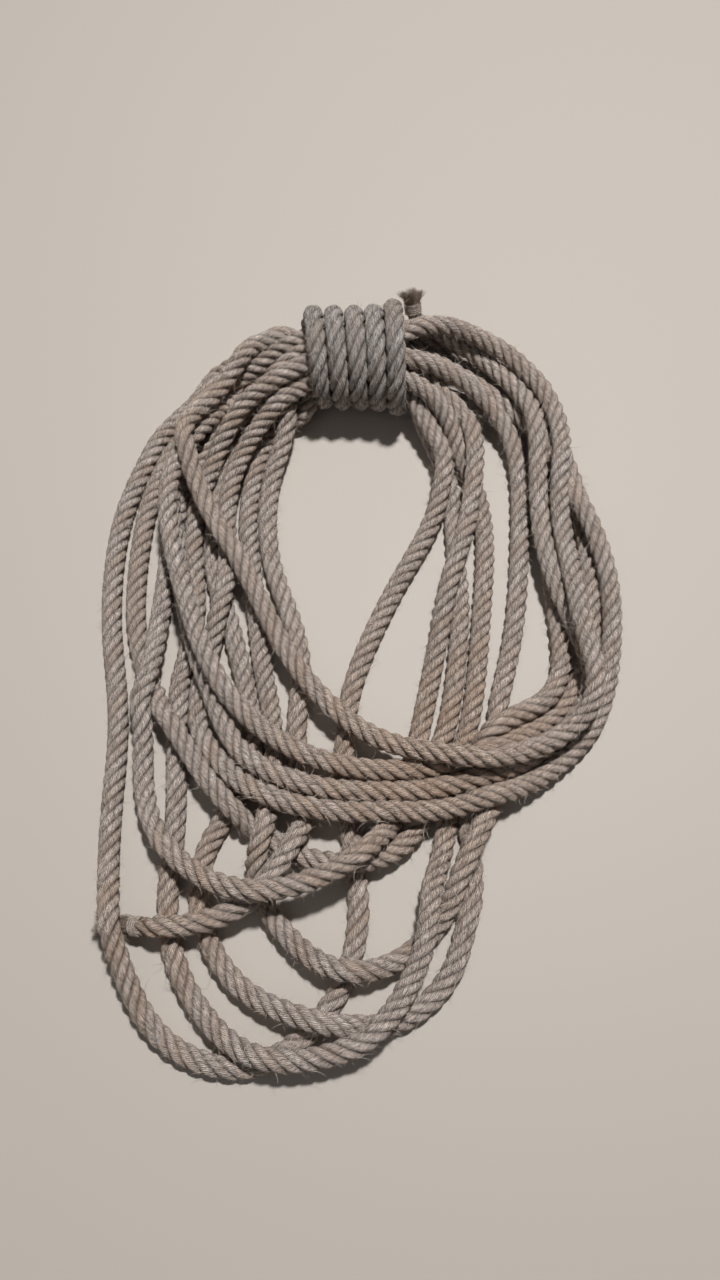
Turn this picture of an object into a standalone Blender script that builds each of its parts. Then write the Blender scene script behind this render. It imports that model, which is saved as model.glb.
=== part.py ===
"""A hank of thick natural-fibre rope, lying flat: ten long loops gathered at one end,
bound with five turns of the same rope, and a whipping of twine near each frayed end.

Metres, +Z up. The rope lies on Z = 0. X runs across the loops, +Y towards the binding.
The whole rope is one length. It is laid out turn by turn from the tables below, in layers,
and then let down until every stretch lies on the table or on the rope under it.
"""
import math

import bmesh
import bpy
import numpy as np

# ---- driving sizes -----------------------------------------------------------------
ROPE_D = 0.016               # thickness of the rope
ROPE_R = ROPE_D / 2
LAY_STEP = 0.006             # spacing of the points that the rope is settled with
LAYER = 0.9 * ROPE_D         # one layer of the turn table, before the rope is let down
FLOOR = 0.0070               # height of the rope's middle where it lies on the table
RISE = 0.45                  # steepest slope at which the rope climbs to the binding
CLEAR = 0.0008               # kept between one stretch of rope and the next
MIDDLE = (-0.0002, -0.0133)  # middle of the hank's outline in the tables' own X and Y

BUNDLE_Y, BUNDLE_Z = 0.2435, 0.045       # middle of the bundle inside the binding
BUNDLE_LEFT, BUNDLE_RIGHT = -0.034, 0.030
RING_REACH = 1.30 * ROPE_D   # eight strands round the bundle
CORE_REACH = 0.42 * ROPE_D   # two strands in its middle
RING_START = 32.5            # degrees from the far side (+Y), turning up
BIND_START, BIND_END = -35, 1755         # degrees through which the binding is wound

LOW_WHIP, TOP_WHIP = 0.034, 0.015        # middle of each twine whipping, from its rope end
WHIP_LENGTH = 0.009
WHIP_THICK = 0.0011
WHIP_GAP = 0.00034
WAIST = 0.40                 # rope radius under a whipping, in rope thicknesses
FLARE = 0.56                 # and at the open end of the fray
CAD_SAG = 0.00092            # how far a facet may cut inside a bend

# ---- the turns ---------------------------------------------------------------------
# In the order of the rope. seat: where the rope goes through the binding before the turn
# (0-7 round the bundle, 8 far core, 9 near core). Each station is (x, y, layer): down the
# right side, round the foot, and up the left side.
TURNS = {
    "first_end": dict(
        seat=None,
        down=[(-0.195, -0.225, 1), (-0.160, -0.229, 1), (-0.119, -0.229, 2)],
        foot=[(-0.082, -0.215, 2), (-0.057, -0.182, 4), (-0.039, -0.158, 4)],
        up=[(-0.045, -0.125, 4), (-0.050, -0.095, 4), (-0.050, -0.060, 4),
            (-0.045, -0.030, 4), (-0.050, 0.000, 4), (-0.070, 0.050, 4),
            (-0.085, 0.095, 5), (-0.080, 0.135, 5), (-0.060, 0.190, 4)]),
    "short_low": dict(
        seat=5,
        down=[(0.045, 0.215, 2), (0.075, 0.150, 0), (0.080, 0.060, 0),
              (0.080, -0.020, 0), (0.065, -0.115, 1)],
        foot=[(0.040, -0.165, 2), (-0.015, -0.186, 2), (-0.090, -0.150, 2)],
        up=[(-0.142, -0.083, 2), (-0.180, -0.010, 0), (-0.185, 0.085, 0),
            (-0.175, 0.145, 1), (-0.135, 0.215, 3), (-0.095, 0.245, 3)]),
    "sling_third": dict(
        seat=0,
        down=[(0.050, 0.275, 5), (0.120, 0.250, 5), (0.150, 0.200, 5),
              (0.150, 0.105, 4), (0.160, 0.040, 4), (0.185, -0.040, 4),
              (0.170, -0.075, 5)],
        foot=[(0.090, -0.121, 6), (-0.005, -0.132, 6), (-0.087, -0.108, 6)],
        up=[(-0.120, -0.045, 6), (-0.145, 0.045, 6), (-0.160, 0.140, 5),
            (-0.140, 0.200, 4), (-0.085, 0.255, 4)]),
    "sling_second": dict(
        seat=6,
        down=[(0.066, 0.280, 3), (0.109, 0.271, 2), (0.154, 0.219, 2),
              (0.185, 0.130, 2), (0.195, 0.035, 2), (0.175, -0.045, 3),
              (0.125, -0.085, 3)],
        foot=[(0.040, -0.115, 5), (-0.046, -0.102, 7)],
        up=[(-0.110, -0.050, 7), (-0.140, 0.025, 7), (-0.160, 0.115, 6),
            (-0.145, 0.185, 6), (-0.085, 0.245, 5)]),
    "sling_lowest": dict(
        seat=8,
        down=[(0.060, 0.250, 3), (0.125, 0.220, 2), (0.175, 0.145, 3),
              (0.200, 0.055, 3), (0.200, -0.035, 4), (0.170, -0.090, 5)],
        foot=[(0.091, -0.140, 6), (0.000, -0.148, 6), (-0.071, -0.138, 6)],
        up=[(-0.111, -0.106, 5), (-0.135, -0.067, 5), (-0.110, 0.025, 5),
            (-0.115, 0.120, 5), (-0.095, 0.175, 5), (-0.070, 0.200, 5)]),
    "long_second": dict(
        seat=3,
        down=[(0.045, 0.220, 3), (0.080, 0.185, 2), (0.105, 0.115, 1),
              (0.100, 0.020, 1), (0.085, -0.075, 1), (0.065, -0.165, 2),
              (0.042, -0.257, 3)],
        foot=[(0.008, -0.304, 3), (-0.067, -0.320, 2), (-0.111, -0.291, 0)],
        up=[(-0.142, -0.235, 1), (-0.140, -0.140, 1), (-0.145, -0.070, 1),
            (-0.135, 0.025, 4), (-0.135, 0.110, 4), (-0.105, 0.200, 4),
            (-0.065, 0.220, 4)]),
    "long_fourth": dict(
        seat=2,
        down=[(0.050, 0.235, 4), (0.105, 0.220, 3), (0.135, 0.180, 2),
              (0.135, 0.085, 1), (0.125, 0.000, 1), (0.100, -0.090, 1),
              (0.080, -0.180, 2)],
        foot=[(0.038, -0.249, 2), (-0.015, -0.263, 1), (-0.064, -0.225, 1)],
        up=[(-0.080, -0.190, 3), (-0.065, -0.110, 3), (-0.080, -0.020, 3),
            (-0.090, 0.075, 3), (-0.090, 0.170, 3), (-0.070, 0.210, 3)]),
    "long_first": dict(
        seat=4,
        down=[(0.045, 0.210, 4), (0.074, 0.176, 4), (0.070, 0.120, 3),
              (0.025, 0.035, 1), (-0.010, -0.055, 1), (-0.010, -0.140, 1),
              (0.001, -0.225, 0)],
        foot=[(-0.020, -0.285, 0), (-0.075, -0.325, 0), (-0.138, -0.309, 1)],
        up=[(-0.174, -0.250, 3), (-0.189, -0.167, 2), (-0.190, -0.070, 0),
            (-0.205, 0.025, 0), (-0.200, 0.120, 0), (-0.160, 0.200, 2),
            (-0.095, 0.260, 3)]),
    "long_third": dict(
        seat=7,
        down=[(0.065, 0.280, 2), (0.110, 0.275, 1), (0.140, 0.250, 1),
              (0.155, 0.200, 1), (0.155, 0.125, 1), (0.160, 0.045, 1),
              (0.165, -0.010, 1), (0.160, -0.058, 2), (0.115, -0.080, 2),
              (0.090, -0.100, 2), (0.085, -0.165, 0), (0.078, -0.225, 0)],
        foot=[(0.066, -0.266, 1), (0.020, -0.299, 1), (-0.045, -0.290, 1)],
        up=[(-0.090, -0.270, 0), (-0.120, -0.220, 1), (-0.120, -0.175, 1),
            (-0.085, -0.120, 1), (-0.085, -0.065, 3), (-0.105, 0.005, 3),
            (-0.125, 0.065, 3), (-0.125, 0.125, 3), (-0.085, 0.215, 3)]),
    "short_top": dict(
        seat=9,
        down=[(0.050, 0.235, 4), (0.090, 0.200, 4), (0.095, 0.120, 3),
              (0.075, 0.045, 2), (0.055, -0.045, 1), (0.035, -0.130, 3)],
        foot=[(0.007, -0.178, 5), (-0.075, -0.208, 5), (-0.125, -0.190, 5)],
        up=[(-0.164, -0.139, 2), (-0.165, -0.045, 4), (-0.160, 0.050, 5),
            (-0.150, 0.145, 5), (-0.095, 0.210, 6), (-0.075, 0.220, 6)]),
    "sling_top": dict(
        seat=1,
        down=[(0.051, 0.267, 7), (0.113, 0.262, 7), (0.168, 0.198, 7),
              (0.165, 0.100, 7), (0.170, 0.015, 7), (0.185, -0.060, 7),
              (0.149, -0.094, 7)],
        foot=[(0.095, -0.110, 7), (0.014, -0.093, 7), (-0.045, -0.040, 8)],
        up=[(-0.088, 0.038, 9), (-0.133, 0.117, 9), (-0.153, 0.170, 8),
            (-0.123, 0.210, 7), (-0.092, 0.256, 6), (-0.073, 0.265, 4)]),
}

# The binding, turn by turn: x where it crosses the far and the near side of the bundle,
# and its reach from the middle of the bundle in rope thicknesses.
BINDING = [
    dict(far=-0.0410, near=-0.0315, reach=2.24),
    dict(far=-0.0235, near=-0.0158, reach=2.24),
    dict(far=-0.0060, near=0.0000, reach=2.24),
    dict(far=0.0110, near=0.0157, reach=2.30),
    dict(far=0.0275, near=0.0315, reach=2.56),
]
LEAD_IN = dict(x=-0.0490, reach=2.20)    # where the rope rises into the binding
LEAD_OUT = dict(x=0.0455, reach=2.30)    # and where it leaves, behind the bundle
LAST_END = [(0.052, 0.282, 0.028), (0.0512, 0.2825, 0.040), (0.0465, 0.286, 0.054),
            (0.0443, 0.2955, 0.069)]


# ---- the route of the rope ---------------------------------------------------------
def smooth_line(points, step):
    """A centripetal curve through the points, read off at even steps."""
    p = np.array(points, float)
    p = np.vstack([2 * p[0] - p[1], p, 2 * p[-1] - p[-2]])
    out = []
    for a, b, c, d in zip(p, p[1:], p[2:], p[3:]):
        knots = [0.0] + [math.sqrt(max(np.linalg.norm(v), 1e-6)) for v in (b - a, c - b, d - c)]
        t = np.cumsum(knots)
        count = max(4, int(np.linalg.norm(c - b) / 0.002))
        s = np.linspace(t[1], t[2], count, endpoint=False)[:, None]
        ab = (t[1] - s) / (t[1] - t[0]) * a + (s - t[0]) / (t[1] - t[0]) * b
        bc = (t[2] - s) / (t[2] - t[1]) * b + (s - t[1]) / (t[2] - t[1]) * c
        cd = (t[3] - s) / (t[3] - t[2]) * c + (s - t[2]) / (t[3] - t[2]) * d
        ac = (t[2] - s) / (t[2] - t[0]) * ab + (s - t[0]) / (t[2] - t[0]) * bc
        bd = (t[3] - s) / (t[3] - t[1]) * bc + (s - t[1]) / (t[3] - t[1]) * cd
        out.append((t[2] - s) / (t[2] - t[1]) * ac + (s - t[1]) / (t[2] - t[1]) * bd)
    line = np.vstack(out + [p[-2:-1]])
    run = along(line)
    at = np.linspace(0, run[-1], max(2, int(round(run[-1] / step))) + 1)
    return np.stack([np.interp(at, run, line[:, k]) for k in range(3)], -1)


def along(line):
    """Distance along a line at each of its points."""
    return np.concatenate([[0], np.cumsum(np.linalg.norm(np.diff(line, axis=0), axis=1))])


def seat_place(seat):
    """Y and Z of a seat in the bundle."""
    if seat < 8:
        angle = math.radians(RING_START + 45 * seat)
        return BUNDLE_Y + RING_REACH * math.cos(angle), BUNDLE_Z + RING_REACH * math.sin(angle)
    return BUNDLE_Y + (CORE_REACH if seat == 8 else -CORE_REACH), BUNDLE_Z


def around_bundle(x, reach, degrees):
    angle = math.radians(degrees)
    return (x, BUNDLE_Y + reach * math.cos(angle), BUNDLE_Z + reach * math.sin(angle))


def binding_points():
    """The five turns of the binding, over the top from the far side to the near side."""
    angles, xs, reaches = [BIND_START], [LEAD_IN["x"]], [LEAD_IN["reach"]]
    for i, turn in enumerate(BINDING):
        angles += [20 + 360 * i, 200 + 360 * i]
        xs += [turn["far"], turn["near"]]
        reaches += [turn["reach"]] * 2
    angles.append(BIND_END)
    xs.append(LEAD_OUT["x"])
    reaches.append(LEAD_OUT["reach"])
    return [around_bundle(np.interp(a, angles, xs), np.interp(a, angles, reaches) * ROPE_D, a)
            for a in range(BIND_START, BIND_END + 1, 25)]


def rope_plan():
    """The rope before it is let down, and which of its points the binding holds."""
    points = []
    for turn in TURNS.values():
        if turn["seat"] is not None:
            y, z = seat_place(turn["seat"])
            points += [(x, y, z) for x in np.linspace(BUNDLE_LEFT, BUNDLE_RIGHT, 5)]
        for x, y, layer in turn["down"] + turn["foot"] + turn["up"]:
            points.append((x, y, ROPE_R + layer * LAYER))
    line = smooth_line(points + binding_points() + LAST_END, LAY_STEP)
    inside = (line[:, 0] > BUNDLE_LEFT) & (line[:, 0] < BUNDLE_RIGHT)
    held = inside & (np.hypot(line[:, 1] - BUNDLE_Y, line[:, 2] - BUNDLE_Z) < RING_REACH + 0.004)
    run = along(line)
    late = np.where(run > 0.9 * run[-1])[0]
    lead_in = around_bundle(LEAD_IN["x"], LEAD_IN["reach"] * ROPE_D, BIND_START)
    first = late[np.linalg.norm(line[late] - lead_in, axis=1).argmin()]
    held[first:] = True
    return line, held


def near_pairs(line, reach, skip):
    """Pairs of points of different stretches that lie within reach of each other."""
    cells = {}
    for i, cell in enumerate(map(tuple, np.floor(line / reach).astype(int))):
        cells.setdefault(cell, []).append(i)
    shifts = [(a, b, c) for a in (-1, 0, 1) for b in (-1, 0, 1) for c in (-1, 0, 1)]
    first, second = [], []
    for (a, b, c), here in cells.items():
        for da, db, dc in shifts:
            there = cells.get((a + da, b + db, c + dc))
            if there is None:
                continue
            one, two = np.repeat(here, len(there)), np.tile(there, len(here))
            keep = one + skip < two
            first.append(one[keep])
            second.append(two[keep])
    return np.concatenate(first), np.concatenate(second)


def let_down(line, held, rounds=260, drop=0.0006, tie=0.05):
    """Lower the rope until each stretch rests on the table or on the rope below it."""
    line = line.copy()
    home, fixed = line[:, :2].copy(), line[held].copy()
    edge = np.abs(np.diff(held.astype(float), prepend=float(held[0]))) > 0
    run = along(line)
    floor = np.full(len(line), FLOOR)
    for i in np.where(edge)[0]:
        floor = np.maximum(floor, line[i, 2] - RISE * np.abs(run - run[i]))
    reach = ROPE_D + CLEAR
    lean = np.array([0.35, 0.35, 1.0]) * 0.30        # stiffness, mostly upright
    yield_way = np.array([0.7, 0.7, 1.3])            # stretches part upwards, not sideways
    for turn in range(rounds):
        if turn % 10 == 0:
            one, two = near_pairs(line, reach + 0.006, int(2.2 * ROPE_D / LAY_STEP))
        if turn < rounds - 40:
            line[:, 2] -= drop
        line[2:-2] += ((line[:-4] + line[4:]) / 2 - line[2:-2]) * lean
        line[1:-1] += 0.4 * ((line[:-2] + line[2:]) / 2 - line[1:-1])
        line[:, :2] += tie * (home - line[:, :2])
        for _ in range(3):
            apart = line[one] - line[two]
            gap = np.linalg.norm(apart, axis=1)
            close = gap < reach
            push = apart[close] / np.maximum(gap[close], 1e-6)[:, None]
            push = push * ((reach - gap[close]) * 0.5)[:, None] * yield_way
            moved, count = np.zeros_like(line), np.zeros(len(line))
            np.add.at(moved, one[close], push)
            np.add.at(moved, two[close], -push)
            np.add.at(count, one[close], 1)
            np.add.at(count, two[close], 1)
            line += moved / np.maximum(count, 1)[:, None] * 1.5
            line[held] = fixed
            line[:, 2] = np.maximum(line[:, 2], floor)
    edge = np.convolve(edge, np.ones(9), "same") > 0
    for _ in range(8):                               # round the rope where it leaves its seats
        line[edge] += 0.25 * (np.roll(line, 1, 0) + np.roll(line, -1, 0) - 2 * line)[edge]
    return line


def rope_radius(line):
    """Rope radius at each point: a waist under each whipping, a flare at each frayed end, and
    drawn in wherever another stretch presses on it."""
    run = along(line)
    wanted = np.full(len(line), ROPE_R)
    for from_end, whip in ((run, LOW_WHIP), (run[-1] - run, TOP_WHIP)):
        profile = np.interp(from_end, [0, whip - 0.006, whip + 0.006, whip + 0.015],
                            [FLARE * ROPE_D, WAIST * ROPE_D, WAIST * ROPE_D, ROPE_R])
        wanted = np.where(from_end < whip + 0.015, profile, wanted)
    skip = int(2.6 * ROPE_D / LAY_STEP)
    index = np.arange(len(line))
    room = np.zeros(len(line))
    for i in range(len(line)):
        others = np.abs(index - i) > skip
        room[i] = np.sqrt(((line[others] - line[i]) ** 2).sum(1).min()) / 2 - CLEAR
    tight = np.minimum.reduce([np.roll(room, k) for k in (-1, 0, 1)])
    tight = np.minimum(tight, FLARE * ROPE_D)
    return np.minimum(wanted, np.convolve(np.pad(tight, 2, mode="edge"), np.ones(5) / 5, "valid"))


def facet_stations(line, radius):
    """Fewest points of the line that keep within CAD_SAG of it and of its radius."""
    run = along(line)
    at_end = (run < LOW_WHIP + 0.015) | (run[-1] - run < TOP_WHIP + 0.015)
    keep, here = [0], 0
    while here < len(line) - 1:
        there = here + 1
        while there + 1 < len(line) and there + 1 - here <= 7 and not at_end[there]:
            chord = line[there + 1] - line[here]
            span = line[here:there + 2] - line[here]
            part = span @ chord / (chord @ chord)
            off = np.linalg.norm(span - part[:, None] * chord, axis=1).max()
            straight = np.interp(part, [0, 1], [radius[here], radius[there + 1]])
            swell = np.abs(straight - radius[here:there + 2]).max()
            if off > CAD_SAG or swell > 0.0006:
                break
            there += 1
        keep.append(there)
        here = there
    return keep


# ---- Blender objects ---------------------------------------------------------------
def material(name, colour, roughness):
    made = bpy.data.materials.new(name)
    made.use_nodes = True
    shader = made.node_tree.nodes["Principled BSDF"]
    shader.inputs["Base Color"].default_value = (*colour, 1)
    shader.inputs["Roughness"].default_value = roughness
    shader.inputs["Metallic"].default_value = 0.0
    return made


def tube(name, line, radius, resolution, capped=True):
    """A tube on a line, with its own radius at each point."""
    curve = bpy.data.curves.new(name, "CURVE")
    curve.dimensions = "3D"
    curve.bevel_depth = 1.0
    curve.bevel_resolution = resolution
    curve.use_fill_caps = capped
    spline = curve.splines.new("POLY")
    spline.points.add(len(line) - 1)
    spline.points.foreach_set("co", np.c_[line, np.ones(len(line))].ravel())
    spline.points.foreach_set("radius", radius)
    guide = bpy.data.objects.new(name + "_guide", curve)
    bpy.context.scene.collection.objects.link(guide)
    evaluated = guide.evaluated_get(bpy.context.evaluated_depsgraph_get())
    mesh = bpy.data.meshes.new_from_object(evaluated)
    bpy.data.objects.remove(guide)
    shape = bmesh.new()
    shape.from_mesh(mesh)
    bmesh.ops.remove_doubles(shape, verts=shape.verts, dist=0.00002)
    for vert in shape.verts:
        vert.co.z = max(vert.co.z, 0.0)
    shape.to_mesh(mesh)
    shape.free()
    mesh.name = name
    return mesh


def place(collection, name, mesh, surface):
    mesh.materials.clear()
    mesh.materials.append(surface)
    mesh.shade_smooth()
    made = bpy.data.objects.new(name, mesh)
    collection.objects.link(made)
    return made


def whipping(collection, name, line, radius, middle, surface):
    """A sleeve of twine round the waist of the rope, middle along it."""
    run = along(line)
    at = np.linspace(middle - WHIP_LENGTH / 2, middle + WHIP_LENGTH / 2, 3)
    part = np.stack([np.interp(at, run, line[:, k]) for k in range(3)], -1)
    widest = np.interp(at, run, radius).max() + WHIP_GAP
    sides = 12
    inner = np.full(3, widest / math.cos(math.pi / sides))
    sleeve = place(collection, name, tube(name, part, inner, sides // 2 - 2, False), surface)
    skin = sleeve.modifiers.new("Twine thickness", "SOLIDIFY")
    skin.thickness = WHIP_THICK
    skin.offset = 1.0
    skin.use_even_offset = True


def main():
    for old in list(bpy.data.objects):
        bpy.data.objects.remove(old)
    hank = bpy.data.collections.new("coiled_frayed_rope")
    bpy.context.scene.collection.children.link(hank)

    plan, held = rope_plan()
    line = let_down(plan, held) - (*MIDDLE, 0.0)
    radius = rope_radius(line)
    keep = facet_stations(line, radius)
    fibre = material("rope", (0.50, 0.42, 0.34), 0.95)
    twine = material("twine", (0.62, 0.58, 0.51), 0.90)
    place(hank, "rope", tube("rope", line[keep], radius[keep], 2), fibre)
    length = along(line)[-1]
    whipping(hank, "whipping_low", line, radius, LOW_WHIP, twine)
    whipping(hank, "whipping_top", line, radius, length - TOP_WHIP, twine)
    print("rope length %.3f m, %d facet rings" % (length, len(keep)))


main()
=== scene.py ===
# %% [markdown]
# # A hank of thick laid rope
# One length of natural-fibre rope, about 14.6 m long and 16 mm thick, gathered into ten long
# loops. Its last few turns bind the loops together at one end. Both ends are tied off with
# twine and fray beyond it. The CAD model gives the sizes and the place; this file gives the
# strands, the yarns, the stray fibres and the colours.

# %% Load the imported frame
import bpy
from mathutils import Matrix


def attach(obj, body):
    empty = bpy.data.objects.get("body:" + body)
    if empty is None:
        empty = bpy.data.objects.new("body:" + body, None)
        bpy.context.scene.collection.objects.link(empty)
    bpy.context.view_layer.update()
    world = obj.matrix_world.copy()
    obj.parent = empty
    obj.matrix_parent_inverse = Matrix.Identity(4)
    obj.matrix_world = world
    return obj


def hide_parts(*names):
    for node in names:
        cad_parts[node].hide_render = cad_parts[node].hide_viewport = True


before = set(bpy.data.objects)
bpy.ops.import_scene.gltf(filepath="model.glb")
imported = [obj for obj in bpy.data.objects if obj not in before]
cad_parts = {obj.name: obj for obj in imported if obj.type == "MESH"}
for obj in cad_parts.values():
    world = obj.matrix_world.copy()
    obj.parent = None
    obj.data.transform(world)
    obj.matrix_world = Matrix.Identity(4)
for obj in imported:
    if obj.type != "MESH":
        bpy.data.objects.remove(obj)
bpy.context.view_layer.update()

import math

import bmesh
import bpy
import numpy as np
from mathutils import Vector

# %% [markdown]
# ## Driving sizes
# This laid rope is four strands twisted together. Two numbers say almost everything about it:
# how thick it is, and its lay, which is the length in which one strand goes once round. All
# sizes are in metres, and the layout sizes are the same as in the CAD part, because the two
# have to lie in the same place.

# %% Sizes
ROPE_D = 0.016               # thickness of the rope
ROPE_R = ROPE_D / 2
STRANDS = 4
LAY = 0.046                  # one strand goes round once in this length
BOUND_LAY = 0.060            # pulled longer where the rope is wound tightly as the binding
CREST = 1.055 * ROPE_R       # middle of the rope to the top of a strand
LAY_STEP = 0.006             # spacing of the points that the rope is settled with
LAYER = 0.9 * ROPE_D         # one layer of the turn table, before the rope is let down
FLOOR = 0.0070               # height of the rope's middle where it lies on the table
RISE = 0.45                  # steepest slope at which the rope climbs to the binding
CLEAR = 0.0008               # kept between one stretch of rope and the next
MIDDLE = (-0.0002, -0.0133)  # middle of the hank's outline in the tables' own X and Y
BUNDLE_Y, BUNDLE_Z = 0.2435, 0.045       # middle of the bundle inside the binding
BUNDLE_LEFT, BUNDLE_RIGHT = -0.034, 0.030
RING_REACH = 1.30 * ROPE_D   # eight strands round the bundle
CORE_REACH = 0.42 * ROPE_D   # two strands in its middle
RING_START = 32.5            # degrees from the far side (+Y), turning up
BIND_START, BIND_END = -35, 1755         # degrees through which the binding is wound
LOW_WHIP, TOP_WHIP = 0.034, 0.015        # middle of each twine whipping, from its rope end
WHIP_LENGTH = 0.009
TWINE_D = 0.0013
TWINE_LAY = 0.0042           # the twine is laid too, from two strands
TWINE_PITCH = 0.0019         # from one turn of twine to the next, so a little rope shows between
WAIST = 0.40                 # rope radius under a whipping, in rope thicknesses
END_STUB = 0.004             # the laid rope ends this far beyond a whipping's middle
SEED = 7
print("%d strands, lay %.0f mm, whipping %.0f mm" % (STRANDS, LAY * 1000, WHIP_LENGTH * 1000))

# %% [markdown]
# ## Camera
# The hank is seen from above and a little from its foot, from close by, so its far end looks
# smaller than its near end. The lens is wide because the camera is near. Setting the sensor fit
# to vertical ties the view to the height of the frame.

# %% Camera
CAMERA_DISTANCE = 0.821      # from the point on the table in the middle of the view
CAMERA_PITCH = math.radians(69.3)        # looking down
SENSOR_HEIGHT = 24                       # millimetres
FOCAL_SHARE = 0.78125                    # focal length over sensor height
camera_data = bpy.data.cameras.new("camera")
camera_data.sensor_fit = "VERTICAL"
camera_data.sensor_height = SENSOR_HEIGHT
camera_data.lens = SENSOR_HEIGHT * FOCAL_SHARE
camera_data.clip_start = 0.01
camera = bpy.data.objects.new("camera", camera_data)
camera.location = (-MIDDLE[0], -MIDDLE[1] - CAMERA_DISTANCE * math.cos(CAMERA_PITCH),
                   CAMERA_DISTANCE * math.sin(CAMERA_PITCH))
camera.rotation_euler = (math.pi / 2 - CAMERA_PITCH, 0, 0)
bpy.context.scene.collection.objects.link(camera)
bpy.context.scene.camera = camera
print("camera at", tuple(round(c, 3) for c in camera.location))

# %% [markdown]
# ## Floor and light
# A plain pale floor takes the shadows. The main light is a soft panel beyond the bound end and
# to its right, so the shadows fall towards the viewer and to the left, into the loops. A weak
# second panel and the sky keep the shadows from going black.

# %% Floor and light
def plain_material(name, colour, roughness):
    made = bpy.data.materials.new(name)
    made.use_nodes = True
    shader = made.node_tree.nodes["Principled BSDF"]
    shader.inputs["Base Color"].default_value = (*colour, 1)
    shader.inputs["Roughness"].default_value = roughness
    return made


def soft_panel(name, place, size, watts):
    """A square light that faces the middle of the hank."""
    light = bpy.data.lights.new(name, "AREA")
    light.shape = "RECTANGLE"
    light.size, light.size_y = size
    light.energy = watts
    lamp = bpy.data.objects.new(name, light)
    lamp.location = place
    lamp.rotation_euler = (-Vector(place)).to_track_quat("-Z", "Y").to_euler()
    bpy.context.scene.collection.objects.link(lamp)


floor_mesh = bpy.data.meshes.new("floor")
sheet = bmesh.new()
bmesh.ops.create_grid(sheet, x_segments=1, y_segments=1, size=4.0)
sheet.to_mesh(floor_mesh)
sheet.free()
floor_mesh.materials.append(plain_material("pale_floor", (0.54, 0.485, 0.43), 0.60))
floor = bpy.data.objects.new("floor", floor_mesh)
bpy.context.scene.collection.objects.link(floor)
soft_panel("main_panel", place=(0.402, 0.903, 3.043), size=(0.25, 0.25), watts=97)
soft_panel("second_panel", place=(-0.9, -0.9, 1.6), size=(1.2, 1.2), watts=1.5)
world = bpy.data.worlds.new("soft_sky")
world.use_nodes = True
world.node_tree.nodes["Background"].inputs["Color"].default_value = (0.95, 0.97, 1.0, 1)
world.node_tree.nodes["Background"].inputs["Strength"].default_value = 0.09
bpy.context.scene.world = world
bpy.context.scene.view_settings.view_transform = "Standard"
print("floor and", len(bpy.data.lights), "panels")

# %% [markdown]
# ## The turns
# Someone coiled this rope by hand, so no two loops are alike and no formula gives them. Each
# loop is a short row of stations instead: across, along and which layer it lies on. The seat
# says where the rope passes through the binding before that loop: 0 to 7 round the bundle, and
# 8 and 9 in its middle.

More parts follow.
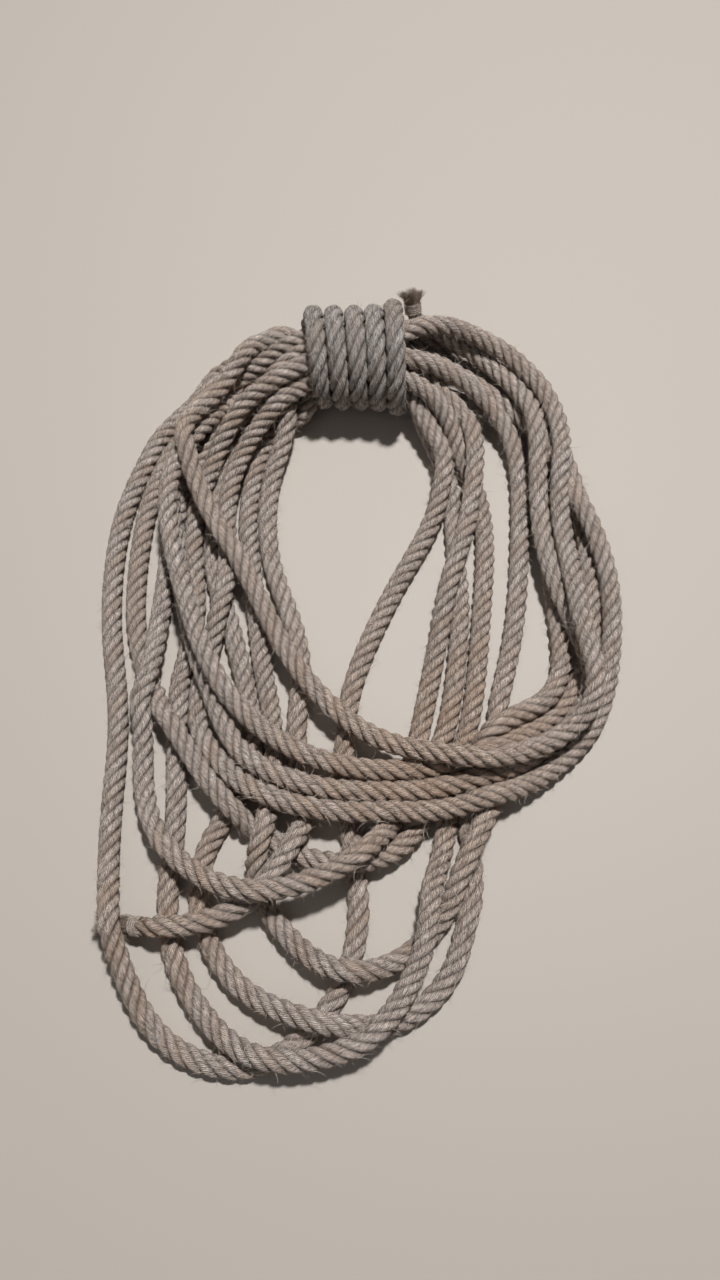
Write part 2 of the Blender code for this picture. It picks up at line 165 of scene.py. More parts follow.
# %% Table of turns
TURNS = {
    "first_end": dict(
        seat=None,
        down=[(-0.195, -0.225, 1), (-0.160, -0.229, 1), (-0.119, -0.229, 2)],
        foot=[(-0.082, -0.215, 2), (-0.057, -0.182, 4), (-0.039, -0.158, 4)],
        up=[(-0.045, -0.125, 4), (-0.050, -0.095, 4), (-0.050, -0.060, 4),
            (-0.045, -0.030, 4), (-0.050, 0.000, 4), (-0.070, 0.050, 4),
            (-0.085, 0.095, 5), (-0.080, 0.135, 5), (-0.060, 0.190, 4)]),
    "short_low": dict(
        seat=5,
        down=[(0.045, 0.215, 2), (0.075, 0.150, 0), (0.080, 0.060, 0),
              (0.080, -0.020, 0), (0.065, -0.115, 1)],
        foot=[(0.040, -0.165, 2), (-0.015, -0.186, 2), (-0.090, -0.150, 2)],
        up=[(-0.142, -0.083, 2), (-0.180, -0.010, 0), (-0.185, 0.085, 0),
            (-0.175, 0.145, 1), (-0.135, 0.215, 3), (-0.095, 0.245, 3)]),
    "sling_third": dict(
        seat=0,
        down=[(0.050, 0.275, 5), (0.120, 0.250, 5), (0.150, 0.200, 5),
              (0.150, 0.105, 4), (0.160, 0.040, 4), (0.185, -0.040, 4),
              (0.170, -0.075, 5)],
        foot=[(0.090, -0.121, 6), (-0.005, -0.132, 6), (-0.087, -0.108, 6)],
        up=[(-0.120, -0.045, 6), (-0.145, 0.045, 6), (-0.160, 0.140, 5),
            (-0.140, 0.200, 4), (-0.085, 0.255, 4)]),
    "sling_second": dict(
        seat=6,
        down=[(0.066, 0.280, 3), (0.109, 0.271, 2), (0.154, 0.219, 2),
              (0.185, 0.130, 2), (0.195, 0.035, 2), (0.175, -0.045, 3),
              (0.125, -0.085, 3)],
        foot=[(0.040, -0.115, 5), (-0.046, -0.102, 7)],
        up=[(-0.110, -0.050, 7), (-0.140, 0.025, 7), (-0.160, 0.115, 6),
            (-0.145, 0.185, 6), (-0.085, 0.245, 5)]),
    "sling_lowest": dict(
        seat=8,
        down=[(0.060, 0.250, 3), (0.125, 0.220, 2), (0.175, 0.145, 3),
              (0.200, 0.055, 3), (0.200, -0.035, 4), (0.170, -0.090, 5)],
        foot=[(0.091, -0.140, 6), (0.000, -0.148, 6), (-0.071, -0.138, 6)],
        up=[(-0.111, -0.106, 5), (-0.135, -0.067, 5), (-0.110, 0.025, 5),
            (-0.115, 0.120, 5), (-0.095, 0.175, 5), (-0.070, 0.200, 5)]),
    "long_second": dict(
        seat=3,
        down=[(0.045, 0.220, 3), (0.080, 0.185, 2), (0.105, 0.115, 1),
              (0.100, 0.020, 1), (0.085, -0.075, 1), (0.065, -0.165, 2),
              (0.042, -0.257, 3)],
        foot=[(0.008, -0.304, 3), (-0.067, -0.320, 2), (-0.111, -0.291, 0)],
        up=[(-0.142, -0.235, 1), (-0.140, -0.140, 1), (-0.145, -0.070, 1),
            (-0.135, 0.025, 4), (-0.135, 0.110, 4), (-0.105, 0.200, 4),
            (-0.065, 0.220, 4)]),
    "long_fourth": dict(
        seat=2,
        down=[(0.050, 0.235, 4), (0.105, 0.220, 3), (0.135, 0.180, 2),
              (0.135, 0.085, 1), (0.125, 0.000, 1), (0.100, -0.090, 1),
              (0.080, -0.180, 2)],
        foot=[(0.038, -0.249, 2), (-0.015, -0.263, 1), (-0.064, -0.225, 1)],
        up=[(-0.080, -0.190, 3), (-0.065, -0.110, 3), (-0.080, -0.020, 3),
            (-0.090, 0.075, 3), (-0.090, 0.170, 3), (-0.070, 0.210, 3)]),
    "long_first": dict(
        seat=4,
        down=[(0.045, 0.210, 4), (0.074, 0.176, 4), (0.070, 0.120, 3),
              (0.025, 0.035, 1), (-0.010, -0.055, 1), (-0.010, -0.140, 1),
              (0.001, -0.225, 0)],
        foot=[(-0.020, -0.285, 0), (-0.075, -0.325, 0), (-0.138, -0.309, 1)],
        up=[(-0.174, -0.250, 3), (-0.189, -0.167, 2), (-0.190, -0.070, 0),
            (-0.205, 0.025, 0), (-0.200, 0.120, 0), (-0.160, 0.200, 2),
            (-0.095, 0.260, 3)]),
    "long_third": dict(
        seat=7,
        down=[(0.065, 0.280, 2), (0.110, 0.275, 1), (0.140, 0.250, 1),
              (0.155, 0.200, 1), (0.155, 0.125, 1), (0.160, 0.045, 1),
              (0.165, -0.010, 1), (0.160, -0.058, 2), (0.115, -0.080, 2),
              (0.090, -0.100, 2), (0.085, -0.165, 0), (0.078, -0.225, 0)],
        foot=[(0.066, -0.266, 1), (0.020, -0.299, 1), (-0.045, -0.290, 1)],
        up=[(-0.090, -0.270, 0), (-0.120, -0.220, 1), (-0.120, -0.175, 1),
            (-0.085, -0.120, 1), (-0.085, -0.065, 3), (-0.105, 0.005, 3),
            (-0.125, 0.065, 3), (-0.125, 0.125, 3), (-0.085, 0.215, 3)]),
    "short_top": dict(
        seat=9,
        down=[(0.050, 0.235, 4), (0.090, 0.200, 4), (0.095, 0.120, 3),
              (0.075, 0.045, 2), (0.055, -0.045, 1), (0.035, -0.130, 3)],
        foot=[(0.007, -0.178, 5), (-0.075, -0.208, 5), (-0.125, -0.190, 5)],
        up=[(-0.164, -0.139, 2), (-0.165, -0.045, 4), (-0.160, 0.050, 5),
            (-0.150, 0.145, 5), (-0.095, 0.210, 6), (-0.075, 0.220, 6)]),
    "sling_top": dict(
        seat=1,
        down=[(0.051, 0.267, 7), (0.113, 0.262, 7), (0.168, 0.198, 7),
              (0.165, 0.100, 7), (0.170, 0.015, 7), (0.185, -0.060, 7),
              (0.149, -0.094, 7)],
        foot=[(0.095, -0.110, 7), (0.014, -0.093, 7), (-0.045, -0.040, 8)],
        up=[(-0.088, 0.038, 9), (-0.133, 0.117, 9), (-0.153, 0.170, 8),
            (-0.123, 0.210, 7), (-0.092, 0.256, 6), (-0.073, 0.265, 4)]),
}
print(len(TURNS), "rows of turns")

# %% [markdown]
# ## The binding
# Five turns of the same rope go round the bundle. They lean a little, because each turn has to
# move along by one thickness while it goes round. Reach is the distance from the middle of the
# bundle in rope thicknesses.

# %% Table of the binding
BINDING = [
    dict(far=-0.0410, near=-0.0315, reach=2.24),
    dict(far=-0.0235, near=-0.0158, reach=2.24),
    dict(far=-0.0060, near=0.0000, reach=2.24),
    dict(far=0.0110, near=0.0157, reach=2.30),
    dict(far=0.0275, near=0.0315, reach=2.56),
]
FAR_ANGLE = 20               # degrees at which a turn has its far X; the near X is half a turn on
LEAD_IN = dict(x=-0.0490, reach=2.20)    # where the rope rises into the binding
LEAD_OUT = dict(x=0.0455, reach=2.30)    # and where it leaves, behind the bundle
LAST_END = [(0.052, 0.282, 0.028), (0.0512, 0.2825, 0.040), (0.0465, 0.286, 0.054),
            (0.0443, 0.2955, 0.069)]
print(len(BINDING), "binding turns")

# %% [markdown]
# ## From stations to a route
# A smooth curve through the stations gives the route, and reading it off at even steps gives
# points that the next steps can treat alike. The centripetal kind of curve never loops back on
# itself between close stations.

# %% Smooth curve
def smooth_line(points, step):
    """A centripetal curve through the points, read off at even steps."""
    p = np.array(points, float)
    p = np.vstack([2 * p[0] - p[1], p, 2 * p[-1] - p[-2]])
    out = []
    for a, b, c, d in zip(p, p[1:], p[2:], p[3:]):
        knots = [0.0] + [math.sqrt(max(np.linalg.norm(v), 1e-6)) for v in (b - a, c - b, d - c)]
        t = np.cumsum(knots)
        count = max(4, int(np.linalg.norm(c - b) / 0.002))
        s = np.linspace(t[1], t[2], count, endpoint=False)[:, None]
        ab = (t[1] - s) / (t[1] - t[0]) * a + (s - t[0]) / (t[1] - t[0]) * b
        bc = (t[2] - s) / (t[2] - t[1]) * b + (s - t[1]) / (t[2] - t[1]) * c
        cd = (t[3] - s) / (t[3] - t[2]) * c + (s - t[2]) / (t[3] - t[2]) * d
        ac = (t[2] - s) / (t[2] - t[0]) * ab + (s - t[0]) / (t[2] - t[0]) * bc
        bd = (t[3] - s) / (t[3] - t[1]) * bc + (s - t[1]) / (t[3] - t[1]) * cd
        out.append((t[2] - s) / (t[2] - t[1]) * ac + (s - t[1]) / (t[2] - t[1]) * bd)
    line = np.vstack(out + [p[-2:-1]])
    run = along(line)
    at = np.linspace(0, run[-1], max(2, int(round(run[-1] / step))) + 1)
    return np.stack([np.interp(at, run, line[:, k]) for k in range(3)], -1)


def along(line):
    """Distance along a line at each of its points."""
    return np.concatenate([[0], np.cumsum(np.linalg.norm(np.diff(line, axis=0), axis=1))])


print("a step is %.0f mm" % (LAY_STEP * 1000))

# %% Route before it is let down
def seat_place(seat):
    """Y and Z of a seat in the bundle."""
    if seat < 8:
        angle = math.radians(RING_START + 45 * seat)
        return BUNDLE_Y + RING_REACH * math.cos(angle), BUNDLE_Z + RING_REACH * math.sin(angle)
    return BUNDLE_Y + (CORE_REACH if seat == 8 else -CORE_REACH), BUNDLE_Z


def around_bundle(x, reach, degrees):
    angle = math.radians(degrees)
    return (x, BUNDLE_Y + reach * math.cos(angle), BUNDLE_Z + reach * math.sin(angle))


def binding_points():
    """The five turns of the binding, over the top from the far side to the near side."""
    angles, xs, reaches = [BIND_START], [LEAD_IN["x"]], [LEAD_IN["reach"]]
    for i, turn in enumerate(BINDING):
        angles += [FAR_ANGLE + 360 * i, FAR_ANGLE + 180 + 360 * i]
        xs += [turn["far"], turn["near"]]
        reaches += [turn["reach"]] * 2
    angles.append(BIND_END)
    xs.append(LEAD_OUT["x"])
    reaches.append(LEAD_OUT["reach"])
    return [around_bundle(np.interp(a, angles, xs), np.interp(a, angles, reaches) * ROPE_D, a)
            for a in range(BIND_START, BIND_END + 1, 25)]


def rope_plan():
    """The rope before it is let down, and which of its points the binding holds."""
    points = []
    for turn in TURNS.values():
        if turn["seat"] is not None:
            y, z = seat_place(turn["seat"])
            points += [(x, y, z) for x in np.linspace(BUNDLE_LEFT, BUNDLE_RIGHT, 5)]
        for x, y, layer in turn["down"] + turn["foot"] + turn["up"]:
            points.append((x, y, ROPE_R + layer * LAYER))
    line = smooth_line(points + binding_points() + LAST_END, LAY_STEP)
    inside = (line[:, 0] > BUNDLE_LEFT) & (line[:, 0] < BUNDLE_RIGHT)
    held = inside & (np.hypot(line[:, 1] - BUNDLE_Y, line[:, 2] - BUNDLE_Z) < RING_REACH + 0.004)
    run = along(line)
    late = np.where(run > 0.9 * run[-1])[0]
    lead_in = around_bundle(LEAD_IN["x"], LEAD_IN["reach"] * ROPE_D, BIND_START)
    first = late[np.linalg.norm(line[late] - lead_in, axis=1).argmin()]
    held[first:] = True
    return line, held


plan, held = rope_plan()
print("planned route %.2f m, %d points" % (along(plan)[-1], len(plan)))

# %% [markdown]
# ## Letting the rope down
# The stations only say which stretch is above which. To find the true heights the rope is let
# down: every point sinks a little at a time, neighbours keep the rope stiff, and points that
# come nearer than one thickness push each other apart. The points inside the binding are held.

# %% Letting down
def near_pairs(line, reach, skip):
    """Pairs of points of different stretches that lie within reach of each other."""
    cells = {}
    for i, cell in enumerate(map(tuple, np.floor(line / reach).astype(int))):
        cells.setdefault(cell, []).append(i)
    shifts = [(a, b, c) for a in (-1, 0, 1) for b in (-1, 0, 1) for c in (-1, 0, 1)]
    first, second = [], []
    for (a, b, c), here in cells.items():
        for da, db, dc in shifts:
            there = cells.get((a + da, b + db, c + dc))
            if there is None:
                continue
            one, two = np.repeat(here, len(there)), np.tile(there, len(here))
            keep = one + skip < two
            first.append(one[keep])
            second.append(two[keep])
    return np.concatenate(first), np.concatenate(second)


def let_down(line, held, rounds=260, drop=0.0006, tie=0.05):
    """Lower the rope until each stretch rests on the table or on the rope below it."""
    line = line.copy()
    home, fixed = line[:, :2].copy(), line[held].copy()
    edge = np.abs(np.diff(held.astype(float), prepend=float(held[0]))) > 0
    run = along(line)
    floor = np.full(len(line), FLOOR)
    for i in np.where(edge)[0]:
        floor = np.maximum(floor, line[i, 2] - RISE * np.abs(run - run[i]))
    reach = ROPE_D + CLEAR
    lean = np.array([0.35, 0.35, 1.0]) * 0.30        # stiffness, mostly upright
    yield_way = np.array([0.7, 0.7, 1.3])            # stretches part upwards, not sideways
    for turn in range(rounds):
        if turn % 10 == 0:
            one, two = near_pairs(line, reach + 0.006, int(2.2 * ROPE_D / LAY_STEP))
        if turn < rounds - 40:
            line[:, 2] -= drop
        line[2:-2] += ((line[:-4] + line[4:]) / 2 - line[2:-2]) * lean
        line[1:-1] += 0.4 * ((line[:-2] + line[2:]) / 2 - line[1:-1])
        line[:, :2] += tie * (home - line[:, :2])
        for _ in range(3):
            apart = line[one] - line[two]
            gap = np.linalg.norm(apart, axis=1)
            close = gap < reach
            push = apart[close] / np.maximum(gap[close], 1e-6)[:, None]
            push = push * ((reach - gap[close]) * 0.5)[:, None] * yield_way
            moved, count = np.zeros_like(line), np.zeros(len(line))
            np.add.at(moved, one[close], push)
            np.add.at(moved, two[close], -push)
            np.add.at(count, one[close], 1)
            np.add.at(count, two[close], 1)
            line += moved / np.maximum(count, 1)[:, None] * 1.5
            line[held] = fixed
            line[:, 2] = np.maximum(line[:, 2], floor)
    edge = np.convolve(edge, np.ones(9), "same") > 0
    for _ in range(8):                               # round the rope where it leaves its seats
        line[edge] += 0.25 * (np.roll(line, 1, 0) + np.roll(line, -1, 0) - 2 * line)[edge]
    return line


line = let_down(plan, held) - (*MIDDLE, 0.0)
run = along(line)
rope_length = run[-1]
print("rope %.3f m, highest middle %.3f m" % (rope_length, line[:, 2].max()))

# %% [markdown]
# ## Thickness and twist along the rope
# Rope gives where another stretch presses on it, and twine draws it in. So the thickness is a
# number at each point: full, less between two stretches that touch, and least in a whipping.
# The twist is another such number. It grows by one turn in each lay, and the lay is not the same
# everywhere: it is longer in the binding, and it wanders a little in a rope as old as this one.
# Soil is a third number for the material, and how tightly the rope is bound gives it painted shade.

# %% Thickness and twist
SOIL = [                     # places where the rope is browner, in the tables' own X and Y
    dict(x=0.05, y=-0.11, reach=0.11, depth=0.8),
    dict(x=-0.09, y=0.19, reach=0.06, depth=0.3),
    dict(x=-0.14, y=-0.225, reach=0.06, depth=0.6)]
OWN_STRETCH = 2.6 * ROPE_D   # within this a point's neighbours are the same stretch of rope
PRESSED = 0.0006             # fibres of two stretches that touch press into each other by this
THINNEST = 0.84              # share of the full thickness that is always left
WANDER_STEP = 0.3            # over this length the lay changes
WANDER = 0.09                # by about this share
WAIST_HALF, SHOULDER = 0.006, 0.016      # from a whipping's middle: end of its waist, full again
BOUND_SWELL = 0.04           # extra thickness on the binding, where the lay is open
BINDING_INNER = 1.8 * ROPE_D             # the binding's turns are further than this from its middle


def soil_along(line):
    """How brown the rope is at each point, from 0 to 1."""
    soil = np.zeros(len(line))
    for spot in SOIL:
        off = np.hypot(line[:, 0] + MIDDLE[0] - spot["x"], line[:, 1] + MIDDLE[1] - spot["y"])
        soil = np.maximum(soil, spot["depth"] * np.exp(-(off / spot["reach"]) ** 2))
    return soil


def thickness_along(line, run, bound):
    """Radius to the crests at each point: half the room there is, and less in a whipping."""
    skip = int(OWN_STRETCH / LAY_STEP)
    index = np.arange(len(line))
    room = np.zeros(len(line))
    for i in range(len(line)):
        others = np.abs(index - i) > skip
        room[i] = np.sqrt(((line[others] - line[i]) ** 2).sum(1).min()) / 2
    room = np.convolve(np.pad(room, 2, mode="edge"), np.ones(5) / 5, "valid")
    radius = np.clip(room + PRESSED, THINNEST * CREST, CREST * (1 + BOUND_SWELL * bound))
    for from_end, whip in ((run, LOW_WHIP), (run[-1] - run, TOP_WHIP)):
        waist = np.interp(from_end, [whip, whip + WAIST_HALF, whip + SHOULDER],
                          [WAIST * ROPE_D, WAIST * ROPE_D, CREST])
        radius = np.minimum(radius, waist)
    return radius


def twist_along(run, bound, chance):
    """Angle through which the strands have turned at each point."""
    marks = np.arange(0, run[-1] + WANDER_STEP, WANDER_STEP)
    wander = np.interp(run, marks, chance.normal(0, WANDER, len(marks)))
    lay = (LAY + (BOUND_LAY - LAY) * bound) * (1 + wander)
    return np.concatenate([[0], np.cumsum(2 * math.pi * np.diff(run) / lay[1:])])


from_bundle = np.hypot(line[:, 1] + MIDDLE[1] - BUNDLE_Y, line[:, 2] - BUNDLE_Z)
outside = from_bundle > BINDING_INNER
bound = np.convolve(held & outside, np.ones(9) / 9, "same")
radius = thickness_along(line, run, bound)
soil = soil_along(line)
twist = twist_along(run, bound, np.random.default_rng(SEED))
print("radius %.1f to %.1f mm, %.0f turns of lay" % (radius.min() * 1000, radius.max() * 1000,
                                                     twist[-1] / (2 * math.pi)))

# %% [markdown]
# ## A small kit for node trees
# Geometry Nodes trees and materials are both built from nodes and links. Two helpers keep that
# short: one adds a node and feeds its sockets, one makes an empty tree with named inputs.

# %% Node helpers
def add(tree, kind, feeds=None, **options):
    """A new node. feeds gives a value or another node's output to sockets, by name or number."""
    node = tree.nodes.new(kind)
    for option, value in options.items():
        setattr(node, option, value)
    for key, source in (feeds or {}).items():
        socket = node.inputs[key]
        if isinstance(source, bpy.types.NodeSocket):
            tree.links.new(source, socket)
        else:
            socket.default_value = source
    return node


def calc(tree, operation, *values):
    """The result of a Math node."""
    node = add(tree, "ShaderNodeMath", dict(enumerate(values)), operation=operation)
    return node.outputs[0]


def geometry_tree(name, **inputs):
    """An empty Geometry Nodes tree with a geometry input and named inputs with defaults."""
    tree = bpy.data.node_groups.new(name, "GeometryNodeTree")
    tree.interface.new_socket("Geometry", in_out="INPUT", socket_type="NodeSocketGeometry")
    kinds = {int: "NodeSocketInt", float: "NodeSocketFloat", type(None): "NodeSocketMaterial"}
    for label, default in inputs.items():
        kind = kinds[type(default)]
        socket = tree.interface.new_socket(label, in_out="INPUT", socket_type=kind)
        if default is not None:
            socket.default_value = default
    tree.interface.new_socket("Geometry", in_out="OUTPUT", socket_type="NodeSocketGeometry")
    return tree, tree.nodes.new("NodeGroupInput").outputs


def finish_tree(tree, geometry, surface):
    """End a tree with plain geometry that has its material."""
    real = add(tree, "GeometryNodeRealizeInstances", {0: geometry})
    named = add(tree, "GeometryNodeSetMaterial",
                {"Geometry": real.outputs[0], "Material": surface})
    smooth = add(tree, "GeometryNodeSetShadeSmooth", {"Geometry": named.outputs[0]})
    add(tree, "NodeGroupOutput", {0: smooth.outputs[0]})


def grow(name, base, tree, **inputs):
    """Run a tree on a mesh with these inputs and keep the result as a plain mesh object."""
    made = bpy.data.objects.new(name, base)
    bpy.context.scene.collection.objects.link(made)
    modifier = made.modifiers.new(tree.name, "NODES")
    modifier.node_group = tree
    sockets = {item.name: item.identifier for item in tree.interface.items_tree
               if item.in_out == "INPUT"}
    for label, value in inputs.items():
        modifier[sockets[label]] = value
    evaluated = made.evaluated_get(bpy.context.evaluated_depsgraph_get())
    mesh = bpy.data.meshes.new_from_object(evaluated)
    made.modifiers.remove(modifier)
    made.data = mesh
    mesh.name = name
    corners = sum(len(face.vertices) - 2 for face in mesh.polygons)
    print("%s: %d triangles" % (name, corners))
    return made


def path_mesh(name, paths, **values):
    """A mesh of loose chains of points, with named numbers at each point."""
    mesh = bpy.data.meshes.new(name)
    starts = np.cumsum([0] + [len(path) for path in paths])
    edges = [(i, i + 1) for a, b in zip(starts, starts[1:]) for i in range(a, b - 1)]
    mesh.from_pydata(np.vstack(paths).tolist(), edges, [])
    for label, rows in values.items():
        mesh.attributes.new(label, "FLOAT", "POINT").data.foreach_set("value",
                                                                      np.concatenate(rows))
    return mesh


print("helpers ready")

# %% [markdown]
# ## The laid-rope tree
# The rope is one skin, not four tubes: a cross-section with a round lobe for each strand runs
# along the route and turns as it goes. Turning the section is the curve's tilt. A skin spends
# every face on what can be seen. One point of the section lies in each groove, and the edges
# along the grooves stay sharp. With two strands the same tree gives twine. It also writes two
# coordinates for the material: `straight`, where each point would be if the rope were pulled
# straight and untwisted, and `laid`, which turns with the strands.

# %% Laid-rope tree
def laid_rope_tree():
    tree, given = geometry_tree("laid rope", Strands=4, Sides=20, Step=0.003, Fullness=0.52,
                                Lumps=0.0004, Material=None)

    def read(name, kind="FLOAT"):
        node = add(tree, "GeometryNodeInputNamedAttribute", {"Name": name}, data_type=kind)
        return node.outputs["Attribute"]

    def store(geometry, name, value, kind="FLOAT"):
        node = add(tree, "GeometryNodeStoreNamedAttribute",
                   {"Geometry": geometry, "Name": name, "Value": value}, data_type=kind)
        return node.outputs[0]

    rail = add(tree, "GeometryNodeMeshToCurve", {"Mesh": given["Geometry"]})
    rail = add(tree, "GeometryNodeCurveSplineType", {"Curve": rail.outputs[0]},
               spline_type="CATMULL_ROM")
    rail = add(tree, "GeometryNodeResampleCurve",
               {"Curve": rail.outputs[0], "Length": given["Step"]}, mode="LENGTH").outputs[0]
    rail = store(rail, "along", add(tree, "GeometryNodeSplineParameter").outputs["Length"])
    rail = store(rail, "axis", add(tree, "GeometryNodeInputTangent").outputs[0], "FLOAT_VECTOR")
    rail = add(tree, "GeometryNodeSetCurveTilt", {"Curve": rail, "Tilt": read("twist")})
    rail = add(tree, "GeometryNodeSetCurveRadius",
               {"Curve": rail.outputs[0], "Radius": read("thick")})

    ring = add(tree, "GeometryNodeCurvePrimitiveCircle",
               {"Resolution": given["Sides"], "Radius": 1.0}).outputs[0]
    turn = calc(tree, "MULTIPLY", add(tree, "GeometryNodeSplineParameter").outputs["Factor"],
                2 * math.pi)
    lobe = calc(tree, "DIVIDE", 2 * math.pi, given["Strands"])
    inside = calc(tree, "SUBTRACT", calc(tree, "FRACT", calc(tree, "DIVIDE", turn, lobe)), 0.5)
    angle = calc(tree, "MULTIPLY", inside, lobe)
    offset = calc(tree, "SUBTRACT", 1.0, given["Fullness"])
    side = calc(tree, "MULTIPLY", offset, calc(tree, "SINE", angle))
    chord = calc(tree, "SQRT", calc(tree, "SUBTRACT", calc(tree, "POWER", given["Fullness"], 2.0),
                                    calc(tree, "POWER", side, 2.0)))
    outline = calc(tree, "ADD", calc(tree, "MULTIPLY", offset, calc(tree, "COSINE", angle)), chord)
    place = add(tree, "GeometryNodeInputPosition").outputs[0]
    scaled = add(tree, "ShaderNodeVectorMath", {0: place, "Scale": outline}, operation="SCALE")
    ring = store(ring, "around", turn)
    ring = store(ring, "edge", calc(tree, "ABSOLUTE", inside))
    ring = add(tree, "GeometryNodeSetPosition", {"Geometry": ring, "Position": scaled.outputs[0]})

    skin = add(tree, "GeometryNodeCurveToMesh", {"Curve": rail.outputs[0],
               "Profile Curve": ring.outputs[0], "Fill Caps": True})
    if "Scale" in skin.inputs:
        tree.links.new(read("thick"), skin.inputs["Scale"])
    skin = skin.outputs[0]

    def unrolled(angle, width):
        return add(tree, "ShaderNodeCombineXYZ", {
            "X": calc(tree, "MULTIPLY", calc(tree, "COSINE", angle), width),
            "Y": calc(tree, "MULTIPLY", calc(tree, "SINE", angle), width),
            "Z": read("along")}).outputs[0]

    fixed = calc(tree, "ADD", read("around"), read("twist"))
    skin = store(skin, "straight", unrolled(fixed, read("thick")), "FLOAT_VECTOR")
    skin = store(skin, "laid", unrolled(read("around"), 1.0), "FLOAT_VECTOR")
    lumps = add(tree, "ShaderNodeTexNoise", {"Vector": read("straight", "FLOAT_VECTOR"),
                "Scale": 130.0, "Detail": 1.0}).outputs["Fac"]
    swell = calc(tree, "MULTIPLY", calc(tree, "SUBTRACT", lumps, 0.5), given["Lumps"])
    normal = add(tree, "GeometryNodeInputNormal").outputs[0]
    push = add(tree, "ShaderNodeVectorMath", {0: normal, "Scale": swell}, operation="SCALE")
    skin = add(tree, "GeometryNodeSetPosition", {"Geometry": skin, "Offset": push.outputs[0]})
    groove = add(tree, "FunctionNodeCompare", {"A": read("edge"), "B": 0.49},
                 data_type="FLOAT", operation="GREATER_THAN")
    creased = add(tree, "GeometryNodeSetShadeSmooth", {"Geometry": skin.outputs[0],
                  "Selection": groove.outputs[0], "Shade Smooth": False}, domain="EDGE")
    finish_tree(tree, creased.outputs[0], given["Material"])
    return tree


laid_rope = laid_rope_tree()
print("laid rope tree:", len(laid_rope.nodes), "nodes")

# %% [markdown]
# ## Old natural fibre
# Hemp that has been used for years is dull, greyish beige, and hairy. Each strand is many yarns.
# Strands are twisted one way and yarns the other, so the yarns lie nearly along the rope. A sine
# of the angle round the rope gives the yarns, each with a tint of its own and with painted shade in
# the gaps between them, and a noise that is quick across the rope and slow along it gives the
# fibres. Colour drifts over some tens of centimetres, and painted shade darkens the grooves.

# %% Fibre material
YARN_LEAN = 2 * math.pi / 0.187          # yarns lean a little, against the strands
GROOVE_PAINTED_SHADE = 0.58           # painted shade: share of the colour left in a groove
SOIL_TINT = (0.94, 0.82, 0.71, 1)        # brown, where the rope is soiled
BINDING_PAINTED_SHADE = (0.77, 0.81, 0.84, 1)       # painted shade, grey and darker, on the binding
